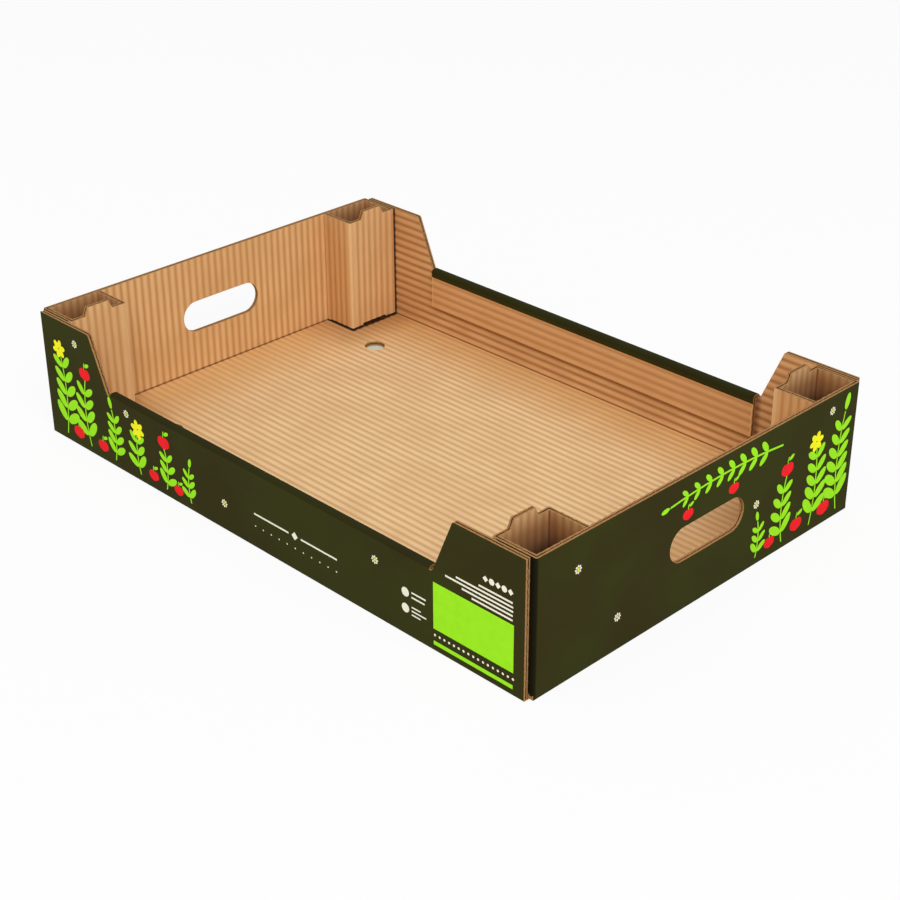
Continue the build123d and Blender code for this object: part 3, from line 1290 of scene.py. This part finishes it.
class Nodes:
    """A node tree, built by expressions and one node-making method."""

    def __init__(self, tree: bpy.types.NodeTree) -> None:
        """Takes up a tree."""
        self.tree = tree

    def node(self, kind: str, settings: dict[str, object], values: dict[object, object]) -> Socket:
        """Makes a node.

        Args:
            kind: Blender's type name of the node.
            settings: Its own settings, which are made first.
            values: Numbers, colours or sockets, by the name or number of its inputs.

        Returns:
            Its first output that is enabled.
        """
        made = self.tree.nodes.new(kind)
        for key, value in settings.items():
            setattr(made, key, value)
        for key, value in values.items():
            self.feed(made.inputs[key], value)
        return Socket(self, next(output for output in made.outputs if output.enabled))

    def source(self, kind: str, output: str) -> Socket:
        """One named output of a new node."""
        return Socket(self, self.node(kind, {}, {}).output.node.outputs[output])

    def feed(self, socket: bpy.types.NodeSocket, value: object) -> None:
        """Links a socket to a value, or sets it to a number or colour."""
        if isinstance(value, Socket):
            self.tree.links.new(value.output, socket)
        else:
            socket.default_value = value

    def mix(self, share: object, first: object, second: object) -> Socket:
        """A colour between two, each a socket or sRGB values."""
        first, second = [tone if isinstance(tone, Socket) else ink(*tone) for tone in (first, second)]
        made = self.node("ShaderNodeMix", {"data_type": "RGBA"}, {0: share, 6: first, 7: second})
        return Socket(self, made.output.node.outputs[2])


class Shader(Nodes):
    """A material, with the place on the object that its colours go by."""

    def __init__(self, name: str, gloss: float = 0.3) -> None:
        """Starts a material with a Principled shader of plain paper."""
        self.material = bpy.data.materials.new(name)
        self.material.use_nodes = True
        super().__init__(self.material.node_tree)
        self.surface = self.tree.nodes["Principled BSDF"]
        self.surface.inputs["Specular IOR Level"].default_value = gloss
        scaled = {0: self.source("ShaderNodeTexCoord", "Object"), "Scale": 1 / MM}
        self.place = self.node("ShaderNodeVectorMath", {"operation": "SCALE"}, scaled)

    @cached_property
    def ways(self) -> dict[str, Socket]:
        """Millimetres from the middle of the tray along X and Y, both ways, and the height."""
        split = self.node("ShaderNodeSeparateXYZ", {}, {0: self.place}).output.node.outputs
        across, along, up = [Socket(self, split[name]) for name in "XYZ"]
        return {"X": abs(across), "Y": abs(along), "Z": up}

    def noise(
        self, scale: float, detail: float = 2.0, rough: float = 0.5, drawn: Optional[Sequence[float]] = None
    ) -> Socket:
        """Cloudy noise between 0 and 1.

        Args:
            scale: Its scale per millimetre.
            detail: How many finer layers it has.
            rough: How strong they are.
            drawn: Scale by axis that draws it out, or None.

        Returns:
            The noise.
        """
        place = self.place
        if drawn is not None:
            place = self.node("ShaderNodeMapping", {}, {"Vector": place, "Scale": drawn})
        values = {"Vector": place, "Scale": scale, "Detail": detail, "Roughness": rough}
        return self.node("ShaderNodeTexNoise", {}, values)

    def bump(self, height: Socket, strength: float, distance: float) -> None:
        """Feeds a height in millimetres to the surface's normal."""
        values = {"Strength": strength, "Distance": distance * MM, "Height": height}
        self.feed(self.surface.inputs["Normal"], self.node("ShaderNodeBump", {}, values))


@dataclass(frozen=True)
class Paper:
    """What the finishes share: two tones, painted shade and highlights over them, and a grain that lifts
    and dulls them.
    """

    light: tuple[int, int, int]
    dark: tuple[int, int, int]
    painted_lights: Sequence[PaintedLight] = ()
    gloss: ClassVar[float] = 0.3
    rough: ClassVar[tuple[float, float]] = (0.8, 0.1)
    relief: ClassVar[tuple[float, float]] = (0.2, 0.1)

    def tones(self, shader: Shader) -> tuple[Socket, Socket]:
        """The colour under the marks, and the grain."""
        raise NotImplementedError

    def material(self, name: str) -> bpy.types.Material:
        """The finish as a material."""
        shader = Shader(name, self.gloss)
        colour, grain = self.tones(shader)
        # Painted shade and painted highlights, each mixed in where it lies
        for mark in self.painted_lights:
            cover = mark.share
            for axis, start, full in mark.past:
                cover = shader.ways[axis].eased(start, full) * cover
            colour = shader.mix(cover, colour, mark.tint)
        least, spread = self.rough
        shader.feed(shader.surface.inputs["Base Color"], colour)
        shader.feed(shader.surface.inputs["Roughness"], least + grain * spread)
        shader.bump(grain, *self.relief)
        return shader.material


@dataclass(frozen=True)
class Kraft(Paper):
    """Unprinted brown liner, with painted shade in the valleys between its flutes and along its inside
    folds.
    """

    axis: Optional[str] = None
    valley: float = 0.0
    creases: Sequence[tuple[tuple[str, float], tuple[str, float]]] = ()
    band: float = 3.2
    crease_shade_ink: tuple[int, int, int] = (124, 72, 38)
    speck_ink: tuple[int, int, int] = (160, 112, 66)
    rough: ClassVar[tuple[float, float]] = (0.82, 0.12)
    relief: ClassVar[tuple[float, float]] = (0.2, 0.1)

    def tones(self, shader: Shader) -> tuple[Socket, Socket]:
        """The liner with its clouds and streaks, painted shade in its valleys and creases, its specks, and
        its fibre.
        """
        ways = shader.ways
        streak = shader.noise(0.35, 3, 0.6, tuple(0.12 if axis != self.axis else 1.0 for axis in "XYZ"))
        fibre = shader.noise(0.9, 4, 0.65)
        cloud = shader.noise(0.018)
        colour = shader.mix(cloud.eased(0.3, 0.7) * 0.3, self.light, self.dark)
        if self.axis:
            wander = (shader.noise(0.05, 1) - 0.5) * 0.4
            half = BOARD.pitch / 2
            apart = abs((ways[self.axis] - self.valley + wander).wrapped(half, -half))
            # Painted shade in the valleys of the washboard
            valley = 1 - apart.eased(0.0, self.band)
            colour = shader.mix(valley * (0.7 + streak * 0.5), colour, self.dark)
            speck = valley * fibre.eased(0.6, 0.72) * 0.45
            colour = shader.mix(speck, colour, self.speck_ink)
        colour = shader.mix(streak.eased(0.5, 0.8) * 0.2, colour, self.dark)
        # Painted shade along the inside folds
        for (first, first_level), (second, second_level) in self.creases:
            off = abs(ways[first] - first_level).larger(abs(ways[second] - second_level))
            colour = shader.mix((1 - off.eased(0.5, 1.5)) * 0.85, colour, self.crease_shade_ink)
        return colour, fibre


@dataclass(frozen=True)
class DarkPrint(Paper):
    """Dark olive ink on the outer liner, a little uneven where the paper takes it up."""

    worn_ink: tuple[int, int, int] = (66, 60, 28)
    gloss: ClassVar[float] = 0.06
    rough: ClassVar[tuple[float, float]] = (0.7, 0.15)
    relief: ClassVar[tuple[float, float]] = (0.12, 0.06)

    def tones(self, shader: Shader) -> tuple[Socket, Socket]:
        """The ink with its clouds and its worn places, and its grain."""
        cloud, grain = shader.noise(0.012), shader.noise(1.6, 3, 0.6)
        colour = shader.mix(cloud.eased(0.35, 0.65), self.dark, self.light)
        return shader.mix(grain.eased(0.6, 0.85) * 0.15, colour, self.worn_ink), grain


@dataclass(frozen=True)
class BrightInk(Paper):
    """A plain ink over the dark ground, a little darker where the paper drinks it."""

    gloss: ClassVar[float] = 0.15
    rough: ClassVar[tuple[float, float]] = (0.6, 0.2)
    relief: ClassVar[tuple[float, float]] = (0.1, 0.05)

    def tones(self, shader: Shader) -> tuple[Socket, Socket]:
        """The ink with its thinner places, and its grain."""
        cover, grain = shader.noise(0.12, 3, 0.6), shader.noise(2.0)
        colour = shader.mix(cover.eased(0.3, 0.75) * 0.6, self.light, self.dark)
        return shader.mix(grain.eased(0.62, 0.8) * 0.25, colour, self.dark), grain


@dataclass(frozen=True)
class CutEdge(Paper):
    """Raw edge of the liners, or the fluted core between them, dark as painted shade in its hollow."""

    bits: float = 0.0
    bit_ink: tuple[int, int, int] = (170, 116, 68)
    rough: ClassVar[tuple[float, float]] = (0.85, 0.1)
    relief: ClassVar[tuple[float, float]] = (0.5, 0.25)

    def tones(self, shader: Shader) -> tuple[Socket, Socket]:
        """The torn paper with its paler bits, and its tears."""
        torn = shader.noise(0.9, 4, 0.7)
        colour = shader.mix(torn.eased(0.35, 0.7), self.light, self.dark)
        if self.bits:
            bit = shader.noise(0.28).eased(0.52, 0.62)
            colour = shader.mix(bit * self.bits, colour, self.bit_ink)
        return colour, torn


class Finishes:
    """The materials, each made once when a piece first asks for it."""

    made: dict[Finish, bpy.types.Material] = {}
    # Inside folds where the kraft takes painted shade: the foot of the walls and ends, and the corners of
    # the wells
    foot = ((("X", 295.5), ("Z", 4.5)), (("Y", 195.5), ("Z", 4.5)))
    well = (
        (("X", 261.3), ("Y", 139.1)),
        (("X", 261.3), ("Y", 189.6)),
        (("X", 295.5), ("Y", 189.6)),
        (("X", 295.5), ("Y", 139.1)),
    )
    # Colour of painted shade where little light reaches
    painted_shade_ink = (50, 28, 13)
    # Painted shade on the floor under the posts
    shade_under_posts = PaintedLight((("X", 254.4, 256.6), ("Y", 132.2, 134.4)), painted_shade_ink, 0.94)
    # Painted soft shadow on the floor round the feet of the posts
    shadow_round_posts = PaintedLight((("X", 215, 256), ("Y", 85, 134)), (150, 94, 48), 0.42)
    # Painted shade on the floor towards the long walls
    shade_near_walls = PaintedLight((("Y", 110, 196),), (205, 144, 67), 0.5)
    # Painted shade on the floor towards the ends
    shade_near_ends = PaintedLight((("X", 195, 292),), (222, 166, 94), 0.5)
    # Painted shade on the walls in the narrow gap behind the posts
    shade_behind_posts = PaintedLight((("X", 256.0, 257.4),), painted_shade_ink, 0.85)
    # Painted shadow on the far wall beside the ends of the rolled strip
    shadow_beside_strip = PaintedLight((("X", 206, 200), ("X", 197, 199), ("Z", 29, 32)), (84, 50, 26), 0.5)
    # Painted shade on the cut end of each long wall, beside the gap at the corner
    shade_beside_end = PaintedLight((("X", 295.0, 295.4), ("Y", 194.6, 195.2), ("Y", 196.5, 195.9)), painted_shade_ink, 0.8)
    # Painted shade on the print in the gap at each corner
    shade_in_corner_gap = PaintedLight((("X", 291, 294), ("Y", 191.2, 193.6), ("Y", 196.4, 195.6)), (14, 11, 5), 0.8)
    # Painted highlight along both ends of the rolled strip
    highlight_strip_end = PaintedLight((("X", 197.3, 198.3),), (236, 190, 134), 0.6)
    # Painted highlight along the front fold of each post
    post_fold = PaintedLight((("Y", 142, 136), ("X", 259.5, 258.5)), (246, 208, 154), 0.5)
    in_well = (("X", 258.5, 259.5), ("Y", 136.5, 137.5))
    # Painted shade in the wells of the posts, starting below the top
    shade_dim_well = PaintedLight(in_well + (("Z", 130, 108),), (150, 92, 48), 0.72)
    # Painted deep shade lower down in the wells
    shade_deep_well = PaintedLight(in_well + (("Z", 116, 80),), (50, 23, 8), 0.94)
    # Painted shade along the top of the rolled edge
    shade_roll_top = PaintedLight((("Y", 199.9, 199.5), ("X", 200, 199), ("Z", 66, 70)), (30, 27, 10), 0.5)
    # Painted shade and highlights, grouped by the finishes that take them
    on_floor = (shade_near_ends, shade_near_walls, shadow_round_posts, shade_under_posts)
    on_wall = (shadow_beside_strip, shade_behind_posts)
    in_posts = (shade_dim_well, shade_deep_well)
    on_post = (post_fold, shade_dim_well, shade_deep_well)
    recipes: dict[Finish, Paper] = {
        Finish.FLOOR: Kraft((248, 211, 161), (214, 169, 115), on_floor, "Y", 3.9, foot),
        Finish.END: Kraft((236, 193, 138), (202, 149, 92), in_posts, "Y", 3.9, foot),
        Finish.WALL: Kraft((230, 184, 128), (176, 119, 70), on_wall, "Z", 11.55, foot),
        Finish.STRIP: Kraft((220, 170, 115), (194, 138, 86), (highlight_strip_end,), "Z", 38.05),
        Finish.POST_FACE: Kraft((232, 191, 136), (206, 152, 98), on_post, "Y", 144.85, well),
        Finish.POST_SIDE: Kraft((222, 174, 118), (196, 142, 86), in_posts, "X", 266.5, well),
        Finish.UNDERSIDE: Kraft((226, 184, 134), (206, 162, 112)),
        Finish.PRINT: DarkPrint((54, 55, 18), (52, 48, 17), (shade_in_corner_gap, shade_roll_top)),
        Finish.CUT: CutEdge((190, 143, 88), (132, 90, 50), (shade_beside_end,)),
        # The core's dark tone is painted shade in the hollow between the liners
        Finish.CORE: CutEdge((96, 54, 26), (58, 30, 12), bits=0.35),
        Finish.LIME: BrightInk((162, 240, 24), (152, 230, 24)),
        Finish.RED: BrightInk((250, 22, 34), (236, 16, 28)),
        Finish.YELLOW: BrightInk((255, 252, 24), (244, 236, 20)),
        Finish.WHITE: BrightInk((252, 247, 228), (238, 232, 210)),
    }

    @classmethod
    def material(cls, finish: Finish) -> bpy.types.Material:
        """The material of a finish, under its name."""
        if finish not in cls.made:
            cls.made[finish] = cls.recipes[finish].material(finish.value)
        return cls.made[finish]


@dataclass(frozen=True)
class Studio:
    """Pale floor, white backdrop, soft lamps and the camera."""

    lens: float = 73.3
    sensor: float = 36.0
    eye: tuple[float, float, float] = (1.0201, -0.9884, 0.7850)
    right: tuple[float, float, float] = (0.703974, 0.710216, -0.003649)
    up: tuple[float, float, float] = (-0.335871, 0.337436, 0.879391)
    back: tuple[float, float, float] = (0.625789, -0.617843, 0.476087)
    clip: tuple[float, float] = (0.05, 50)
    sky: float = 0.48
    lamps: Sequence[tuple[str, tuple[float, float, float], float, float]] = (
        ("key", (2.4, -1.7, 2.9), 2.2, 93),
        ("fill", (-1.3, -1.2, 1.6), 1.6, 5),
    )
    lamp_aim: tuple[float, float, float] = (0, 0, 0.05)
    floor_size: float = 12.0
    floor_level: float = -0.0003
    floor_rough: float = 0.9
    floor_white: float = 0.9
    # Painted shadow under the tray: less white, and a grey-green tint
    tray_shadow_share: float = 0.8
    floor_ink: tuple[int, int, int] = (247, 247, 247)
    tray_shadow_ink: tuple[int, int, int] = (211, 217, 195)
    tray_shadow_x: tuple[float, float] = (298, 290)
    tray_shadow_y: tuple[float, float] = (198, 190)

    def camera(self) -> None:
        """Sets the camera where the photograph was taken from."""
        Bench.hold()
        bpy.ops.object.camera_add(location=self.eye)
        camera = bpy.context.object
        camera.name = "camera"
        turn = Matrix((self.right, self.up, self.back)).transposed().to_4x4()
        camera.matrix_world = Matrix.Translation(self.eye) @ turn
        camera.data.lens = self.lens
        camera.data.sensor_width = self.sensor
        camera.data.clip_start, camera.data.clip_end = self.clip
        bpy.context.scene.camera = camera

    def lamp(self, name: str, place: Sequence[float], size: float, power: float) -> None:
        """Adds a soft square lamp that points at the tray."""
        Bench.hold()
        bpy.ops.object.light_add(type="AREA", location=place)
        lamp = bpy.context.object
        lamp.name = name
        lamp.data.size = size
        lamp.data.energy = power
        aim = Vector(self.lamp_aim) - Vector(place)
        lamp.rotation_euler = aim.to_track_quat("-Z", "Y").to_euler()

    def white_where_seen(
        self, nodes: Nodes, lit: bpy.types.Node, out: bpy.types.Node, white: str, share: object = None
    ) -> None:
        """Shows white to the camera, to gloss and through glass, and the lit shader to the rest.

        Args:
            nodes: Nodes of the world or the floor.
            lit: The shader that takes the light.
            out: The output that shows the surface.
            white: Type of the shader that is white by itself.
            share: How much of what is seen is white, or None for all of it.
        """
        path = nodes.node("ShaderNodeLightPath", {}, {}).output.node.outputs
        seen = Socket(nodes, path["Is Camera Ray"])
        for name in ("Is Glossy Ray", "Is Transmission Ray"):
            seen = seen.larger(Socket(nodes, path[name]))
        if share is not None:
            seen = share * seen
        glow = nodes.node(white, {}, {"Color": (1, 1, 1, 1), "Strength": 1})
        mixed = nodes.node("ShaderNodeMixShader", {}, {0: seen, 1: Socket(nodes, lit.outputs[0]), 2: glow})
        nodes.feed(out.inputs["Surface"], mixed)

    def world(self) -> None:
        """Even light from all round, white where the camera looks past the floor."""
        world = bpy.data.worlds.new("studio")
        bpy.context.scene.world = world
        world.use_nodes = True
        tree = world.node_tree
        glow = tree.nodes["Background"]
        glow.inputs["Color"].default_value = (1, 1, 1, 1)
        glow.inputs["Strength"].default_value = self.sky
        self.white_where_seen(Nodes(tree), glow, tree.nodes["World Output"], "ShaderNodeBackground")

    def floor(self) -> None:
        """The pale floor that the tray stands on, with a painted shadow where the tray covers it."""
        Bench.hold()
        bpy.ops.mesh.primitive_plane_add(size=self.floor_size, location=(0, 0, self.floor_level))
        floor = bpy.context.object
        floor.name = "floor"
        shader = Shader("pale_floor")
        shader.surface.inputs["Roughness"].default_value = self.floor_rough
        above = 1 - shader.source("ShaderNodeNewGeometry", "Backfacing")
        # Painted shadow where the tray covers the floor
        tray_shadow = shader.ways["X"].eased(*self.tray_shadow_x) * shader.ways["Y"].eased(*self.tray_shadow_y) * above
        colour = shader.mix(tray_shadow, self.floor_ink, self.tray_shadow_ink)
        shader.feed(shader.surface.inputs["Base Color"], colour)
        out = shader.tree.nodes["Material Output"]
        share = self.floor_white - tray_shadow * self.tray_shadow_share
        self.white_where_seen(shader, shader.surface, out, "ShaderNodeEmission", share)
        floor.data.materials.append(shader.material)

    def build(self) -> None:
        """Sets up the whole studio."""
        self.camera()
        self.world()
        for name, place, size, power in self.lamps:
            self.lamp(name, place, size, power)
        self.floor()
        bpy.context.scene.view_settings.view_transform = "Standard"


def ride_as_node(piece: bpy.types.Object) -> None:
    """Lets the modelled board ride on the frame in place of its CAD node."""
    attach(piece, BODY)
    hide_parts(NODE)


def main() -> None:
    """Builds the tray, the print and the studio."""
    logging.basicConfig(level=logging.INFO, format="%(message)s")
    tray = Tray().build()
    ride_as_node(tray)
    log.info("%s: %d faces", tray.name, len(tray.data.polygons))
    Studio().build()
    bpy.context.view_layer.update()


if __name__ == "__main__":
    main()
